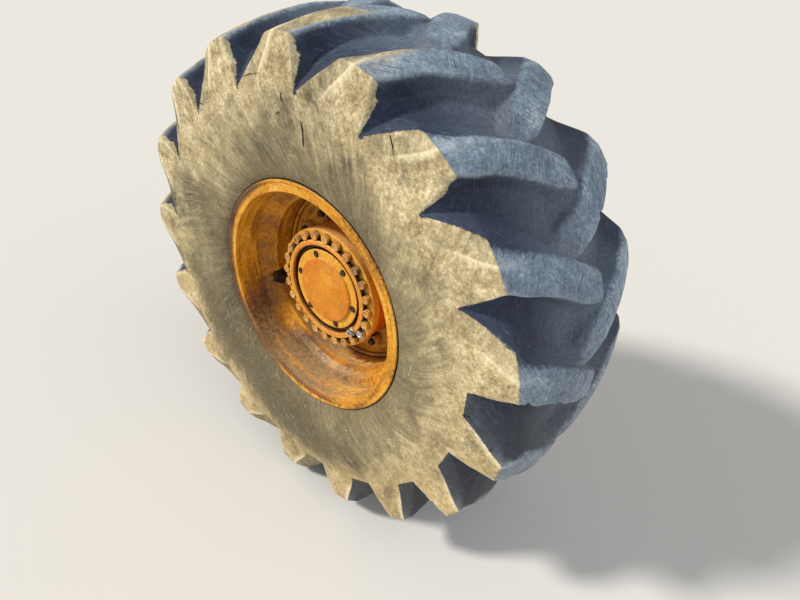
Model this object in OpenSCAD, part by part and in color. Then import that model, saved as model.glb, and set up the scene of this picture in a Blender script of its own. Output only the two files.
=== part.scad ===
// Wheel of a log skidder: lugged forestry tyre on a drop centre rim, bolted by its disc
// to a planetary hub, which turns on the spindle at the end of the axle.
// The wheel turns about the Y axis. The outer side faces -Y, and y = 0 is the spindle
// flange's face that bolts to the axle housing. Profiles are drawn as [radius, y].

/* [Tyre] */
// Width of the tyre over its sidewalls
tyre_w = 587; // [560:1:620]
// Radius over the worn lugs at the middle of the tread
crown_r = 770; // [750:1:800]
// Radius at a lug's shoulder tip
shoulder_r = 723; // [705:1:740]
// Distance from the middle of the tyre to a lug's shoulder tip
shoulder_u = 279; // [270:1:284]
// Depth of the tread at the middle
tread_d = 48; // [36:1:58]
// Radius at the bottom of the notches between the lugs
notch_r = 595; // [580:1:615]
// Radius at the widest place of the sidewalls
wide_r = 525; // [500:1:550]
// Number of lugs on each side
lug_n = 17; // [15:1:19]
// Place of the first lug's tip, in degrees from the top
lug_start = -44.7; // [-90:0.1:90]
// Width of the worn edges along a lug's top
lug_wear = 9; // [4:1:14]
// Thickness of the casing under the tread
casing_t = 28; // [20:1:36]
// Thickness of the sidewalls
sidewall_t = 22; // [15:1:26]
// Width of each bead on its seat
bead_w = 40; // [30:1:46]

/* [Rim] */
// Width between the rim's two flanges
rim_w = 508; // [490:1:530]
// Radius of the bead seats
seat_r = 330; // [325:1:335]
// Height of the flanges above the bead seats
flange_h = 26; // [20:1:30]
// Thickness of the flanges
flange_t = 8; // [7:1:12]
// Thickness of the rolled barrel
barrel_t = 9; // [7:1:12]
// Length of the outer bead seat ledge, from the flange's outer face
ledge_l = 88; // [70:1:92]
// Radius of the drop centre on the tyre's side
well_r = 284; // [275:1:292]
// Distance from the outer flange's face to the start of the drop centre
well_start = 124; // [116:1:135]
// Distance from the outer flange's face to the end of the drop centre
well_end = 300; // [280:1:330]
// Distance from the outer flange's face to the disc's outer face
disc_in = 197; // [188:1:210]
// Thickness of the wheel disc
disc_t = 16; // [12:1:22]
// Leg of the disc's weld fillets
weld_leg = 10; // [6:1:14]
// Radius of the valve hole
valve_hole_r = 25; // [18:1:28]
// Place of the valve hole, in degrees from the top
valve_a = -110; // [-180:1:180]
// Distance from the outer flange's face to the valve hole's middle
valve_in = 132; // [126:1:150]

/* [Hub] */
// Distance from the rim's outer flange face to the axle flange's face
wheel_offset = 345; // [335:1:360]
// Radius of the hub drum
drum_r = 185; // [180:1:190]
// Radius of the hub's wheel flange
wheel_flange_r = 245; // [238:1:252]
// Thickness of the hub's wheel flange
wheel_flange_t = 24; // [18:1:30]
// Length of the drum in front of the disc
drum_l = 82; // [70:1:90]
// Number of wheel studs
stud_n = 12; // [10:1:14]
// Diameter of the wheel stud circle
stud_pcd = 425.4; // [424:0.1:430]
// Radius of a wheel stud
stud_r = 11; // [9:0.5:12]
// Length of a wheel stud in front of the disc
stud_out = 34; // [28:1:38]
// Thickness of a wheel stud's head
stud_head_t = 9; // [6:0.5:12]
// Height of a wheel nut over its collar
nut_h = 22; // [18:1:26]
// Thickness of a wheel nut's collar
nut_collar_t = 4; // [3:0.5:6]
// Place of the first wheel stud, in degrees from the top
stud_start = -63; // [-90:1:90]
// Number of ribs behind the wheel flange
rib_n = 12; // [6:1:16]
// Thickness of the ribs
rib_t = 14; // [10:1:18]
// Radius of the hub's inner end
hub_end_r = 128; // [124:1:132]

/* [Planet housing] */
// Radius of the planet housing's flange
house_r = 188; // [186:1:192]
// Thickness of the planet housing's flange
house_t = 25; // [20:1:30]
// Number of bolts around the planet housing
house_bolt_n = 24; // [18:1:26]
// Diameter of the housing bolt circle
house_pcd = 338.4; // [337:0.1:340]
// Radius of a housing bolt's shank
house_bolt_r = 8; // [6:0.5:9]
// Place of the first housing bolt, in degrees from the top
house_bolt_start = -1; // [-15:0.5:15]
// Inner radius of the raised ring
ring_in = 141; // [139:1:144]
// Height of the raised ring
ring_h = 13; // [8:1:15]
// Depth of the cover's seat below the flange face
cover_seat_d = 8; // [5:1:10]

/* [Cover] */
// Radius of the hub cover
cover_r = 127; // [122:1:130]
// Thickness of the cover's rim
cover_t = 14; // [12:1:16]
// Radius of the cover's raised middle
boss_r = 102; // [98:1:104]
// Height of the raised middle
boss_h = 8; // [5:1:10]
// Number of cover bolts
cover_bolt_n = 6; // [4:1:8]
// Diameter of the cover bolt circle
cover_pcd = 224.4; // [222:0.1:228]
// Place of the first cover bolt, in degrees from the top
cover_bolt_start = -22.8; // [-60:0.1:60]
// Radius of a cover bolt's shank
cover_bolt_r = 5; // [4:0.5:6]
// Depth of the recesses for the cover bolts, below the cover's rim
recess_d = 5; // [3:0.5:7]
// Radius of the drain plug's thread
plug_r = 7; // [5:0.5:7.5]
// Place of the drain plug, in degrees from the top
plug_a = 126.5; // [125:0.5:128]

/* [Spindle] */
// Radius of the spindle's axle flange
axle_flange_r = 165; // [160:1:175]
// Thickness of the axle flange
axle_flange_t = 24; // [18:1:30]
// Number of holes in the axle flange
axle_bolt_n = 16; // [12:1:18]
// Diameter of the axle flange's hole circle
axle_pcd = 290; // [280:1:296]
// Radius of the holes in the axle flange
axle_hole_r = 9; // [7:0.5:11]
// Radius of the spigot that centres the spindle in the axle housing
spigot_r = 110; // [100:1:116]
// Length of the spigot
spigot_l = 8; // [5:1:12]
// Radius of the bore for the half shaft
shaft_bore_r = 36; // [30:1:40]
// Radius of the inner bearing land
inner_land_r = 80; // [78:1:84]
// Radius of the outer bearing land
outer_land_r = 60; // [56:1:64]
// Radius of the seal's land
seal_land_r = 95; // [92:1:98]

/* [Fits] */
// Running clearance of the hub on its bearing lands, on the radius
run_gap = 0.05; // [0.02:0.01:0.1]
// Clearance of seated round pieces, on the radius
seat_gap = 0.3; // [0.1:0.1:0.5]
// Clearance of moving pieces that pass each other
move_gap = 6; // [5:1:8]

/* [Hidden] */
$fn = 96;
pitch = 360 / lug_n;

// places along the axis
rim_face_y = -wheel_offset;
mid_y = rim_face_y + flange_t + rim_w / 2;
rim_back_y = rim_face_y + 2 * flange_t + rim_w;
disc_y = rim_face_y + disc_in;
flange_y = disc_y + disc_t;
flange_back_y = flange_y + wheel_flange_t;
drum_y = disc_y - drum_l;
house_y = drum_y - house_t;
cover_seat_y = house_y + cover_seat_d;
cover_y = cover_seat_y - cover_t;
boss_y = cover_y - boss_h;

// standard bolt sizes, as multiples of the shank's radius
hex_af = 3;
hex_h = 1.5;

// radii that follow from others
flange_r = seat_r + flange_h;
lip_bulb_r = flange_t / 2 + 1.5;
lip_at_r = flange_r - lip_bulb_r;
ledge_in = seat_r - barrel_t;
well_in = well_r - barrel_t;
pilot_r = drum_r + seat_gap;
ring_r = house_pcd / 2 - hex_af * house_bolt_r / 2 - seat_gap;
cavity_r = house_pcd / 2 - house_bolt_r - 11;
hub_end_y = -axle_flange_t - 16;
seal_bore_r = seal_land_r + 17;
seal_l = 16;

// bearing lands, as [y nearest the outer side, y nearest the axle]
outer_land = [disc_y, disc_y + 22];
inner_land = [flange_back_y + 10, flange_back_y + 44];
nose_y = disc_y - 4;
plug_at_r = ring_in + 6;
// the weld behind the disc stays clear of the hub's wheel flange
back_weld = min(weld_leg, (well_in - wheel_flange_r) / 2);

function hex_corner_r(r) = hex_af * r / 2 / cos(30);

// the outer side's radius of a void's floor and of the lugs' tops, at distance u from the middle
floor_pow = 3.2;
notch_u = tyre_w / 2 - 2.5;
function floor_r(u) = crown_r - tread_d
  - (crown_r - tread_d - notch_r) * pow(abs(u) / notch_u, floor_pow);
function crown_at(u) = crown_r - (crown_r - shoulder_r) * pow(u / shoulder_u, 2);
// distance from the middle to the sidewall at a radius between its widest place and the tips
function wall_u(r) = tyre_w / 2 - (tyre_w / 2 - shoulder_u)
  * pow((r - wide_r) / (shoulder_r - wide_r), 1.7);

// turns a solid drawn about Z so that its axis lies along +Y
module turned() rotate([-90, 0, 0]) children();
// places children at an angle in degrees from the top, clockwise from the outer side
module at_angle(a) rotate([0, 0, a - 90]) children();
module round_row(n, r, start) {
  for (i = [0:n - 1]) at_angle(start + i * 360 / n) translate([r, 0, 0]) children();
}
module tube(r, y0, y1) translate([0, 0, y0]) cylinder(r = r, h = y1 - y0);
// hexagon with two of its flats square to the X axis
module hexagon(corner_r, y0, y1)
  translate([0, 0, y0]) rotate(30) cylinder(r = corner_r, h = y1 - y0, $fn = 6);

// a hexagon bolt whose head seats at y = 0 and whose shank runs to +Y
module hex_bolt(r, shank_l) {
  tube(r, -1, shank_l);
  tube(hex_af * r / 2, -0.3 * r, 0);
  hexagon(hex_corner_r(r), -(hex_h + 0.3) * r, -0.3 * r);
}

module spindle() color("dimgray") turned() {
  step_y = inner_land[0] + move_gap;
  neck_r = (outer_land_r + inner_land_r) / 2 - move_gap;
  difference() {
    rotate_extrude() polygon([
      [shaft_bore_r, spigot_l], [shaft_bore_r, nose_y], [outer_land_r, nose_y],
      [outer_land_r, outer_land[1] + 2], [neck_r, outer_land[1] + 4],
      [neck_r, step_y - 6], [inner_land_r, step_y],
      [inner_land_r, inner_land[1] + 2], [seal_land_r, inner_land[1] + 6],
      [seal_land_r, -axle_flange_t - 12], [spigot_r + 10, -axle_flange_t - 8],
      [spigot_r + 14, -axle_flange_t], [axle_flange_r - 2, -axle_flange_t],
      [axle_flange_r, -axle_flange_t + 2], [axle_flange_r, 0], [spigot_r, 0],
      [spigot_r, spigot_l - 2], [spigot_r - 2, spigot_l]]);
    round_row(axle_bolt_n, axle_pcd / 2, 0) tube(axle_hole_r, -axle_flange_t - 1, 1);
  }
}

module hub_rib() {
  rib_in = seal_bore_r + 4;
  rotate([90, 0, 0]) linear_extrude(rib_t, center = true) polygon([
    [rib_in, flange_back_y - 1], [stud_pcd / 2 - 4 * stud_r + 12, flange_back_y - 1],
    [hub_end_r + 6, hub_end_y - 14], [rib_in, hub_end_y - 14]]);
}

module hub() color("orange") turned() {
  difference() {
    union() {
      rotate_extrude() polygon([
        [cavity_r, drum_y], [drum_r - 1, drum_y], [drum_r, drum_y + 1], [drum_r, flange_y],
        [wheel_flange_r - 2, flange_y], [wheel_flange_r, flange_y + 2],
        [wheel_flange_r, flange_back_y - 2], [wheel_flange_r - 2, flange_back_y],
        [hub_end_r + 30, flange_back_y], [hub_end_r + 6, flange_back_y + 22],
        [hub_end_r, hub_end_y - 3], [hub_end_r - 3, hub_end_y], [seal_bore_r, hub_end_y],
        [seal_bore_r, hub_end_y - seal_l - 2], [inner_land_r + run_gap + 4, inner_land[1]],
        [inner_land_r + run_gap, inner_land[1]], [inner_land_r + run_gap, inner_land[0]],
        [outer_land_r + 14, inner_land[0]], [outer_land_r + 14, outer_land[1]],
        [outer_land_r + run_gap, outer_land[1]], [outer_land_r + run_gap, outer_land[0]],
        [cavity_r, outer_land[0] - 6]]);
      round_row(rib_n, 0, stud_start + 15) hub_rib();
    }
    round_row(stud_n, stud_pcd / 2, stud_start) tube(stud_r + seat_gap, flange_y - 1, flange_back_y + 1);
    round_row(house_bolt_n, house_pcd / 2, house_bolt_start)
      tube(house_bolt_r + seat_gap, drum_y - 1, drum_y + 2.5 * house_bolt_r);
  }
}

// rubber lip seal in a steel case, pressed into the hub's inner end
module hub_seal() color("black") turned() {
  out_r = seal_bore_r - seat_gap;
  lip_r = seal_land_r + run_gap + 0.25;
  case_t = 3;
  rotate_extrude() polygon([
    [out_r, hub_end_y - seal_l], [out_r, hub_end_y + 2], [lip_r + 4, hub_end_y + 2],
    [lip_r, hub_end_y - 1], [lip_r, hub_end_y - 4], [lip_r + 4, hub_end_y - 6],
    [out_r - case_t, hub_end_y - 6], [out_r - case_t, hub_end_y - seal_l]]);
}

module planet_housing() color("orange") turned() {
  difference() {
    union() {
      rotate_extrude() polygon([
        [0, cover_seat_y], [cover_r + 3, cover_seat_y], [ring_in, cover_seat_y],
        [ring_in, house_y - ring_h + 2], [ring_in + 2, house_y - ring_h],
        [ring_r - 2, house_y - ring_h], [ring_r, house_y - ring_h + 2], [ring_r, house_y],
        [house_r - 2, house_y], [house_r, house_y + 2], [house_r, drum_y],
        [cavity_r - seat_gap, drum_y], [cavity_r - seat_gap, drum_y + 22], [0, drum_y + 22]]);
      at_angle(plug_a) translate([plug_at_r, 0, 0]) tube(plug_r + 6, house_y - ring_h, cover_seat_y);
    }
    round_row(house_bolt_n, house_pcd / 2, house_bolt_start)
      tube(house_bolt_r + seat_gap, house_y - 1, drum_y + 1);
    round_row(cover_bolt_n, cover_pcd / 2, cover_bolt_start)
      tube(cover_bolt_r + seat_gap, cover_seat_y - 1, cover_seat_y + 4 * cover_bolt_r);
    tube(cover_r + 2, house_y - ring_h - 1, cover_seat_y);
    at_angle(plug_a) translate([plug_at_r, 0, 0])
      tube(plug_r + seat_gap, house_y - ring_h - 1, house_y + 8);
  }
}

module housing_bolts() color("goldenrod") turned() {
  round_row(house_bolt_n, house_pcd / 2, house_bolt_start)
    translate([0, 0, house_y]) hex_bolt(house_bolt_r, house_t + 2 * house_bolt_r);
}

module hub_cover() color("orange") turned() {
  difference() {
    rotate_extrude() polygon([
      [0, cover_seat_y], [cover_r, cover_seat_y], [cover_r, cover_y + 2], [cover_r - 2, cover_y],
      [boss_r + 2, cover_y], [boss_r, cover_y - 2], [boss_r - 1, boss_y + 2.5],
      [boss_r - 3, boss_y + 0.8], [boss_r - 6, boss_y], [0, boss_y]]);
    round_row(cover_bolt_n, cover_pcd / 2, cover_bolt_start) {
      tube(cover_bolt_r + seat_gap, boss_y - 1, cover_seat_y + 1);
      tube(2 * cover_bolt_r, boss_y - 1, cover_y + recess_d);
    }
  }
}

module cover_bolts() color("dimgray") turned() {
  round_row(cover_bolt_n, cover_pcd / 2, cover_bolt_start)
    translate([0, 0, cover_y + recess_d]) hex_bolt(cover_bolt_r, cover_t - recess_d + 3 * cover_bolt_r);
}

module drain_plug() color("gray") turned() {
  collar_t = 0.4 * plug_r;
  head_l = 1.9 * plug_r;
  at_angle(plug_a) translate([plug_at_r, 0, house_y - ring_h]) {
    tube(plug_r, -1, ring_h + 6);
    tube(1.7 * plug_r, -collar_t, 0);
    difference() {
      hexagon(1.64 * plug_r, -head_l, -collar_t);
      tube(0.7 * plug_r, -head_l - 1, -0.6 * head_l);
    }
  }
}

module rim_disc() color("darkorange") turned() {
  difference() {
    rotate_extrude() polygon([
      [pilot_r, disc_y + 1], [pilot_r + 1, disc_y], [well_in - weld_leg, disc_y],
      [well_in - 0.1, disc_y - weld_leg], [well_in - 0.1, flange_y + back_weld],
      [well_in - back_weld, flange_y], [pilot_r, flange_y]]);
    round_row(stud_n, stud_pcd / 2, stud_start) tube(stud_r + 1, disc_y - 1, flange_y + 1);
  }
}

module wheel_studs() color("gray") turned()
  round_row(stud_n, stud_pcd / 2, stud_start) {
    tube(stud_r, disc_y - stud_out, flange_back_y + 1);
    tube(1.6 * stud_r, flange_back_y, flange_back_y + stud_head_t);
  }

module wheel_nuts() color("goldenrod") turned()
  round_row(stud_n, stud_pcd / 2, stud_start) difference() {
    union() {
      tube(2 * stud_r, disc_y - nut_collar_t, disc_y);
      hexagon(hex_corner_r(stud_r), disc_y - nut_h, disc_y - nut_collar_t);
    }
    tube(stud_r + seat_gap, disc_y - nut_h - 1, disc_y + 1);
  }

// barrel wall between the tyre's side and the inside, from the outer flange to the inner one
function barrel_line(drop) = [
  [seat_r - drop, rim_face_y + flange_t], [seat_r - drop, rim_face_y + ledge_l],
  [(seat_r * 2 + well_r) / 3 - drop, rim_face_y + ledge_l + 12],
  [(seat_r + well_r * 2) / 3 - drop, rim_face_y + well_start - 6],
  [well_r - drop, rim_face_y + well_start], [well_r - drop, rim_face_y + well_end],
  [seat_r - drop, rim_face_y + well_end + 40], [seat_r - drop, rim_back_y - flange_t]];

// cone sunk into the slope of the drop centre, which widens towards the valve hole
module valve_pocket(slope_a, length, wall) {
  at_angle(valve_a) translate([ledge_in, 0, rim_face_y + ledge_l]) rotate([0, -slope_a, 0])
    cylinder(r1 = 1 + wall, r2 = 1 + wall + 0.4 * length, h = length);
}

module rim_barrel() color("orange") turned() {
  outer = barrel_line(0);
  inner = barrel_line(barrel_t);
  slope_a = atan2(ledge_in - well_in, well_start - ledge_l);
  slope_l = norm([ledge_in - well_in, well_start - ledge_l]);
  difference() {
    union() {
      rotate_extrude() polygon(concat(
        [[ledge_in, rim_face_y], [lip_at_r, rim_face_y], [lip_at_r, rim_face_y + flange_t],
         [seat_r + 5, rim_face_y + flange_t], [seat_r, rim_face_y + flange_t + 4]],
        [for (i = [1:6]) outer[i]],
        [[seat_r, rim_back_y - flange_t - 4], [seat_r + 5, rim_back_y - flange_t],
         [lip_at_r, rim_back_y - flange_t], [lip_at_r, rim_back_y], [ledge_in, rim_back_y]],
        [for (i = [6:-1:1]) inner[i]]));
      for (y = [rim_face_y + flange_t - lip_bulb_r, rim_back_y - flange_t + lip_bulb_r])
        rotate_extrude() translate([lip_at_r, y]) circle(r = lip_bulb_r, $fn = 24);
      valve_pocket(slope_a, slope_l, barrel_t);
    }
    valve_pocket(slope_a, slope_l + 20, 0);
    at_angle(valve_a) translate([0, 0, rim_face_y + valve_in]) rotate([0, 90, 0])
      translate([0, 0, well_in - 20]) cylinder(r = valve_hole_r, h = barrel_t + 40);
    // keeps the dish free of the pocket's wall
    rotate_extrude() polygon(concat(
      [[well_in - 60, rim_face_y], [ledge_in - 40, rim_face_y]], [for (i = [1:4]) inner[i]],
      [[well_in, rim_face_y + well_start + 60], [well_in - 60, rim_face_y + well_start + 60]]));
  }
}

// rubber grommet in the valve hole with the valve's short stem
module valve_stem() color("black") turned() {
  grommet_t = 7;
  stem_r = 5;
  stem_out = 8;
  at_angle(valve_a) translate([0, 0, rim_face_y + valve_in]) rotate([0, 90, 0]) {
    translate([0, 0, well_r - 4]) cylinder(r = valve_hole_r - seat_gap, h = grommet_t);
    translate([0, 0, well_in - stem_out]) cylinder(r = stem_r, h = barrel_t + stem_out - 2);
  }
}

// distance from the middle of the tyre to each bead's outer face
bead_u = rim_w / 2 - seat_gap;

// one side of the casing, from the middle of the tread to the bead, as [r, distance from the middle]
function casing_side() = concat(
  [for (u = [0, 60, 120, 180, 225, 260]) [floor_r(u), u]],
  [for (r = [notch_r, (notch_r + wide_r) / 2]) [r, wall_u(r)]],
  [for (s = [0:15:90]) [wide_r - (wide_r - flange_r - 2) * sin(s),
                        bead_u + (tyre_w / 2 - bead_u) * cos(s)]],
  [[seat_r + 6, bead_u],
   [seat_r + seat_gap, rim_w / 2 - 6]]);
function liner_side() = concat(
  [for (t = [0:12:84]) [wide_r + (crown_r - tread_d - casing_t - wide_r) * cos(t),
                        (tyre_w / 2 - sidewall_t) * sin(t)]],
  [for (s = [0:15:60]) [wide_r - (wide_r - seat_r - 12) * sin(s),
                        rim_w / 2 - bead_w + 6 + (tyre_w / 2 - rim_w / 2 - sidewall_t + bead_w - 6) * cos(s)]],
  [[seat_r + seat_gap, rim_w / 2 - bead_w]]);
function flip(line) = [for (p = line) [p[0], -p[1]]];
function back(line) = [for (i = [len(line) - 1:-1:1]) line[i]];

module casing_form() {
  outer = casing_side();
  inner = liner_side();
  translate([0, 0, mid_y]) rotate_extrude($fn = 180)
    polygon(concat(back(outer), flip(outer), back(flip(inner)), inner));
}

// A lug as rings from the sidewall over the shoulder to its nose past the middle. Columns:
// distance from the middle and radius of the top, distance from the middle of the base, then
// angles from the tip of the top's two edges and of the base's two edges. Where the trailing
// edge is a broad sloping facet, two more give the facet's far edge: its angle and how much of
// the lug's height it has lost.
lug_rings = [
  for (t = [0.04, 0.36, 0.68]) let(r = notch_r + t * (shoulder_r - notch_r))
    [wall_u(r), r, notch_u - 12 - 36 * t, -11.7 + 7.4 * t, 2.2 - 1.9 * t, -18.6 + 3.4 * t, 2.4,
     -18.8 + 11.5 * t, 0.5 - 0.3 * t],
  [shoulder_u, shoulder_r, 236, -5, 0.35, -14.5, 2.2, -7.6, 0.16],
  [240, crown_at(240), 205, -4.1, 1.9, -11.5, 3.6, -5.1, 0.07],
  [185, crown_at(185), 165, -3.1, 3.5, -8, 5.2],
  [105, crown_at(105), 100, -0.5, 6.8, -3.5, 8.7],
  [10, crown_at(10), 10, 3.2, 10.3, 1.2, 12],
  [-48, crown_at(48), -50, 5.6, 11.2, 3.6, 13],
  [-72, crown_at(72) - 14, -80, 6.8, 10.6, 4.6, 13.4]];
lug_root = 8;
ring_pts = 6;

function on_tyre(r, u, a) = [r * cos(a - 90), r * sin(a - 90), u];
function lug_ring(s) = let(
    floor = floor_r(s[2]),
    edge = lug_wear / s[1] * 180 / PI,
    side_r = s[1] - 0.8 * lug_wear,
    side_u = s[0] - (s[1] <= shoulder_r ? 0 : 1),
    lean = 0.12,
    trailing = len(s) > 7
      ? on_tyre(s[1] + (floor - s[1]) * s[8], s[0] + (s[2] - s[0]) * s[8], s[7])
      : on_tyre(side_r, side_u, s[3] + (s[5] - s[3]) * lean))
  [on_tyre(floor - lug_root, s[2], s[5]), trailing,
   on_tyre(s[1], s[0], s[3] + edge), on_tyre(s[1], s[0], s[4] - edge),
   on_tyre(side_r, side_u, s[4] + (s[6] - s[4]) * lean), on_tyre(floor - lug_root, s[2], s[6])];

module lug() {
  last = (len(lug_rings) - 1) * ring_pts;
  polyhedron(
    [for (s = lug_rings) each lug_ring(s)],
    concat(
      [[for (j = [ring_pts - 1:-1:0]) j]],
      [for (i = [0:ring_pts:last - 1], j = [0:ring_pts - 1]) let(k = (j + 1) % ring_pts)
        [i + j, i + k, i + k + ring_pts, i + j + ring_pts]],
      [[for (j = [0:ring_pts - 1]) last + j]]));
}

module tyre_casing() color("dimgray") turned() casing_form();

// all lugs on the casing, joined where their feet meet near the middle
module tyre_tread() color("dimgray") turned() difference() {
  for (side = [0, 1], i = [0:lug_n - 1])
    translate([0, 0, mid_y]) mirror([0, 0, side == 0 ? 1 : 0])
      rotate([0, 0, lug_start + (i + side / 2) * pitch]) lug();
  casing_form();
}

spindle();
hub();
hub_seal();
planet_housing();
housing_bolts();
hub_cover();
cover_bolts();
drain_plug();
rim_disc();
wheel_studs();
wheel_nuts();
rim_barrel();
valve_stem();
tyre_casing();
tyre_tread();
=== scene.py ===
"""Looks of a forestry skidder's wheel: tyre, rim, planetary hub and axle end, built round the CAD part.

The wheel turns about the Y axis and its outer side faces -Y. Angles round the wheel are in degrees
from the top, clockwise as seen from the outer side. Lengths are in metres, and in millimetres in the
tyre's shape, the cuts and the sizes of patterns.
"""

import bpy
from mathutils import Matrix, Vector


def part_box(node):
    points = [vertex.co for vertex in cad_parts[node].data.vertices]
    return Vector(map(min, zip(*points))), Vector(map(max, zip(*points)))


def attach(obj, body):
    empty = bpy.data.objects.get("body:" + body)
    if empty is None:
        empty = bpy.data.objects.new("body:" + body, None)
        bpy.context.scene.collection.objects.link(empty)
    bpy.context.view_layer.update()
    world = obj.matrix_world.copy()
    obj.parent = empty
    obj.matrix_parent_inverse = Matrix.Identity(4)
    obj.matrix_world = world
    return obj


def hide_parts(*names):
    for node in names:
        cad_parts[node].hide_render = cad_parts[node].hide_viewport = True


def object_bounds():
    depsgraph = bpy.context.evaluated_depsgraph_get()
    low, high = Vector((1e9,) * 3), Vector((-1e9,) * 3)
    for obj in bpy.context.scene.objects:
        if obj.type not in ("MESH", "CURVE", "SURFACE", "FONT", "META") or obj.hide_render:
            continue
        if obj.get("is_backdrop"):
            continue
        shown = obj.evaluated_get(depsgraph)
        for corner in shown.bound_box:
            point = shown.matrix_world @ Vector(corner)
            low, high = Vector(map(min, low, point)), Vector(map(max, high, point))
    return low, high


bl_info = {
    "name": "Skidder wheel",
    "version": (1, 0, 0),
    "blender": (4, 5, 0),
    "location": "View3D > Sidebar > Wheel",
    "description": "Builds a worn forestry wheel with its lugged tyre, painted rim and planetary hub",
    "category": "Add Mesh",
}

import math
from functools import partial

import bpy
import numpy as np
from bpy.props import FloatProperty, FloatVectorProperty, IntProperty, PointerProperty
from mathutils import Matrix, Vector, noise

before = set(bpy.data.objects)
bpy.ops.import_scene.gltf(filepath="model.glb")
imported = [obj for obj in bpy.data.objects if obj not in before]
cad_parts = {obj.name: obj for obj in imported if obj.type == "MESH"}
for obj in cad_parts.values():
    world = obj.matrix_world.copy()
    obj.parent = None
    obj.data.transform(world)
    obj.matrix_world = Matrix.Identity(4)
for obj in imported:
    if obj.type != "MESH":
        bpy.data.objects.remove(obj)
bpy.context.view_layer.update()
MM = 0.001
CASING_LOW, CASING_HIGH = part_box("tyre_casing")
MID_Y = (CASING_LOW.y + CASING_HIGH.y) / 2
RIM_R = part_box("rim_barrel")[1].z
STUD_LOW, STUD_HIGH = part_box("wheel_studs")
DISC_FACE_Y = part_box("wheel_nuts")[1].y
# heads stand this far off their seats, washer included
HOUSE_HEAD, COVER_HEAD = 14.4 * MM, 9 * MM
HOUSE_FACE_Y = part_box("housing_bolts")[0].y + HOUSE_HEAD
COVER_BOLT_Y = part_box("cover_bolts")[0].y + COVER_HEAD
COVER_SEAT_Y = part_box("hub_cover")[1].y


def linear(code):
    """An sRGB hex colour such as "#c0843a" as linear RGB."""
    parts = [int(code[i:i + 2], 16) / 255 for i in (1, 3, 5)]
    return tuple(p / 12.92 if p <= 0.04045 else ((p + 0.055) / 1.055) ** 2.4 for p in parts)


def length(label, text, metres):
    return FloatProperty(name=label, description=text, default=metres, unit="LENGTH", precision=4)


def degrees(label, text, value):
    return FloatProperty(name=label, description=text + ", in degrees from the top", default=value)


def quantity(label, text, value):
    return IntProperty(name=label, description=text, default=value)


def colour(label, text, code):
    return FloatVectorProperty(
        name=label, description=text, default=linear(code), subtype="COLOR", min=0, max=1)


class TyreSizes(bpy.types.PropertyGroup):
    """Sizes of the tyre, which match the CAD solids that it replaces."""
    width: length("Width", "Width over the sidewalls", CASING_HIGH.y - CASING_LOW.y)
    crown_r: length("Crown radius", "Radius over the lugs at the middle of the tread", 0.770)
    shoulder_r: length("Shoulder radius", "Radius at a lug's shoulder tip", 0.723)
    shoulder_u: length("Shoulder offset", "Distance from the middle to a lug's shoulder tip", 0.279)
    tread_d: length("Tread depth", "Depth of the tread at the middle", 0.048)
    notch_r: length("Notch radius", "Radius at the bottom of the notches between the lugs", 0.595)
    wide_r: length("Widest radius", "Radius at the widest place of the sidewalls", 0.525)
    flange_r: length("Flange radius", "Radius of the rim's flanges", RIM_R)
    seat_r: length("Bead seat radius", "Radius of the rim's bead seats", 0.330)
    rim_w: length("Rim width", "Width between the rim's flanges", 0.508)
    lug_n: quantity("Lugs", "Number of lugs on each side", 17)
    lug_start: degrees("First lug", "Place of the first lug's tip", -44.7)


class HubSizes(bpy.types.PropertyGroup):
    """Sizes and places of the hub's fasteners and of the weld, which match the CAD solids."""
    house_n: quantity("Housing bolts", "Number of bolts round the planet housing", 24)
    house_at: length("Housing bolt radius", "Radius of the housing bolts' circle", 0.1692)
    house_start: degrees("First housing bolt", "Its place", -1)
    house_r: length("Housing bolt shank", "Radius of a housing bolt's shank", 0.008)
    bare_bolt: quantity("Bare bolt", "Which housing bolt is new and unpainted", 8)
    cover_n: quantity("Cover bolts", "Number of cover bolts", 6)
    cover_at: length("Cover bolt radius", "Radius of the cover bolts' circle", 0.1122)
    cover_start: degrees("First cover bolt", "Its place", -22.8)
    cover_r: length("Cover bolt shank", "Radius of a cover bolt's shank", 0.005)
    stud_n: quantity("Wheel studs", "Number of wheel studs", 12)
    stud_at: length("Stud radius", "Radius of the wheel studs' circle", 0.2127)
    stud_start: degrees("First stud", "Its place", -63)
    stud_r: length("Stud", "Radius of a wheel stud", 0.011)
    well_r: length("Well radius", "Radius of the drop centre's inner face", 0.275)
    weld_leg: length("Weld leg", "Leg of the weld between barrel and disc", 0.010)


class FinishColours(bpy.types.PropertyGroup):
    """Colours of the finishes."""
    # the navy of the voids is painted shade lit by the sky, over the rubber's own dark grey
    void_rubber_and_shade: colour("Rubber", "Clean rubber in the bottoms of the voids", "#1d2c45")
    # the blue in this grey is painted shade lit by the sky, over scuffed grey rubber
    scuffed_rubber_and_shade: colour("Scuffed rubber", "Scuffed tops of the lugs", "#7d8fa0")
    rubber_side: colour("Sidewall", "Dusty sidewall", "#a3946e")
    # this pale tan is dried mud; on the crests it is also laid as painted sunlight
    dust_and_sunlight: colour("Dust", "Pale dried mud on the lugs' ends", "#d0be94")
    paint_rim: colour("Rim paint", "Yellow enamel of the rim", "#d5901f")
    paint_hub: colour("Hub paint", "Orange enamel of the hub", "#d2691a")
    rust: colour("Rust", "Rust that has come through the paint", "#6b3f26")
    steel: colour("Steel", "Zinc plated steel of the plug and one bolt", "#b9bab5")
    floor: colour("Floor", "Studio floor", "#dcdad5")


def finish_colours():
    return bpy.context.scene.wheel_colours


# Materials

def rgba(shade):
    """A hex colour or a linear colour with its alpha."""
    return (*(linear(shade) if isinstance(shade, str) else shade), 1)


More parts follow.
